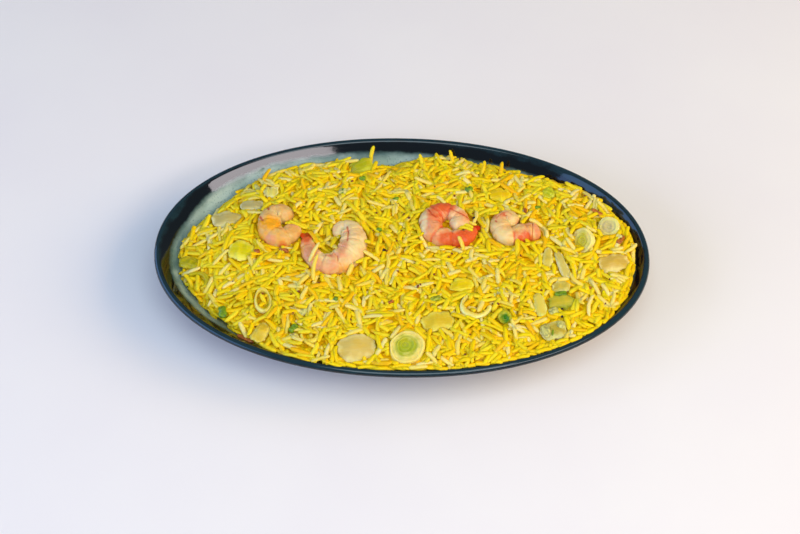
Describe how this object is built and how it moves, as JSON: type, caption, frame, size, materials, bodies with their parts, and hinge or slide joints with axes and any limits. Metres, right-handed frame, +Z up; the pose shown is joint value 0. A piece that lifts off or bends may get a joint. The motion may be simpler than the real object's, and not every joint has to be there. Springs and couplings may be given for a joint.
{
  "type": "fried rice",
  "caption": "Yellow fried rice with shrimps and spring onion, heaped in a shallow oval glazed stoneware dish.",
  "frame": {"origin": "on the table under the middle of the oval dish", "axes": "+X along the dish's length, to the right as served; +Y across it, away from the diner; +Z up"},
  "size_m": [0.28, 0.172, 0.046],
  "materials": {
    "glaze": "glossy dark green-grey glaze, paler speckled celadon inside",
    "rice": "soft, slightly oily cooked rice",
    "shrimp": "moist, slightly translucent",
    "onion": "moist, slightly translucent"
  },
  "bodies": {
    "root": {"bowl": "glaze", "rice_heap": "rice", "shrimp_left": "shrimp", "shrimp_middle": "shrimp", "shrimp_centre": "shrimp", "shrimp_right": "shrimp", "onion_slice_front": "onion", "onion_half_front": "onion", "onion_crescent": "onion", "onion_green_stub": "onion", "onion_green_rim": "onion", "onion_petal_right_front": "onion", "onion_clear_right_front": "onion", "onion_stub_right": "onion", "onion_slice_right": "onion", "onion_shell_right": "onion", "onion_strip_pale": "onion", "onion_strip_spoon": "onion", "onion_clear_end": "onion", "onion_skin_front": "onion", "onion_ring_left": "onion", "onion_curl_left": "onion", "onion_half_left": "onion", "onion_clear_back_left": "onion", "onion_clear_back": "onion", "onion_square_yellow": "onion", "onion_leaf_left": "onion", "onion_arc_left": "onion", "onion_leaf_back": "onion", "onion_green_back_right": "onion", "onion_yellow_back": "onion", "onion_yellow_middle": "onion", "onion_white_back": "onion"}
  },
  "joints": []
}
